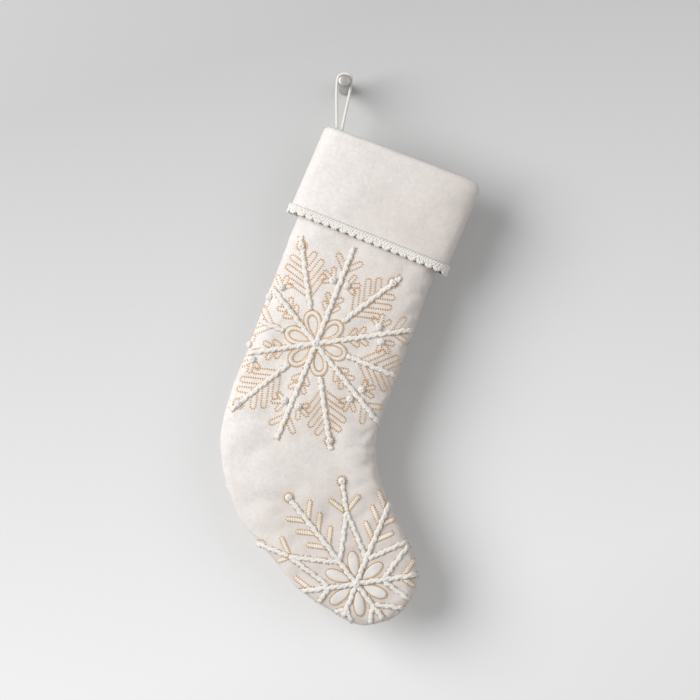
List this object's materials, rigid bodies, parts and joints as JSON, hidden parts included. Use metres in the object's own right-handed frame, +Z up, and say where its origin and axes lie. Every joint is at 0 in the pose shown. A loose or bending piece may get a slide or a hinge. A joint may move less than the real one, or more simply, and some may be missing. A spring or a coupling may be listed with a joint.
{
  "type": "hanging stocking",
  "caption": "Fabric stocking that hangs tilted from a cord loop, with a folded cuff, crocheted edging and embroidered snowflakes on its front.",
  "frame": {"origin": "middle of the peg or hook that the cord loop hangs on", "axes": "+Z up, +X to the right seen from the front, -Y towards the viewer; the stocking hangs 20.8 degrees off upright"},
  "size_m": [0.2924, 0.0482, 0.6164],
  "materials": {
    "flannel": "matte off-white flannel",
    "lining": "matte cotton",
    "wadding": "matte polyester wadding",
    "cord": "matte round cotton cord",
    "yarn": "matte white yarn",
    "gold_thread": "soft gold embroidery thread",
    "satin_thread": "white satin stitch"
  },
  "bodies": {
    "loop": {"hanging_loop": "cord", "loop_knot": "cord"},
    "stocking": {"loop_stay": "lining", "front_panel": "flannel", "back_panel": "flannel", "front_wadding": "wadding", "back_wadding": "wadding", "front_lining": "lining", "back_lining": "lining", "cuff_front": "flannel", "cuff_back": "flannel", "cuff_facing_front": "lining", "cuff_facing_back": "lining", "cuff_trim": "yarn", "upper_snowflake_chains": "yarn", "upper_snowflake_petals": "gold_thread", "upper_snowflake_leaves": "gold_thread", "upper_snowflake_knots": "yarn", "lower_snowflake_chains": "yarn", "lower_snowflake_petals": "satin_thread", "lower_snowflake_bars": "gold_thread", "lower_snowflake_knots": "yarn"}
  },
  "joints": [
    {"name": "stocking_swing", "type": "hinge", "parent": "loop", "child": "stocking", "pos_m": [-0.0061, 0, -0.0624], "axis": [0, 1, 0], "range_deg": [-35, 10]}
  ]
}
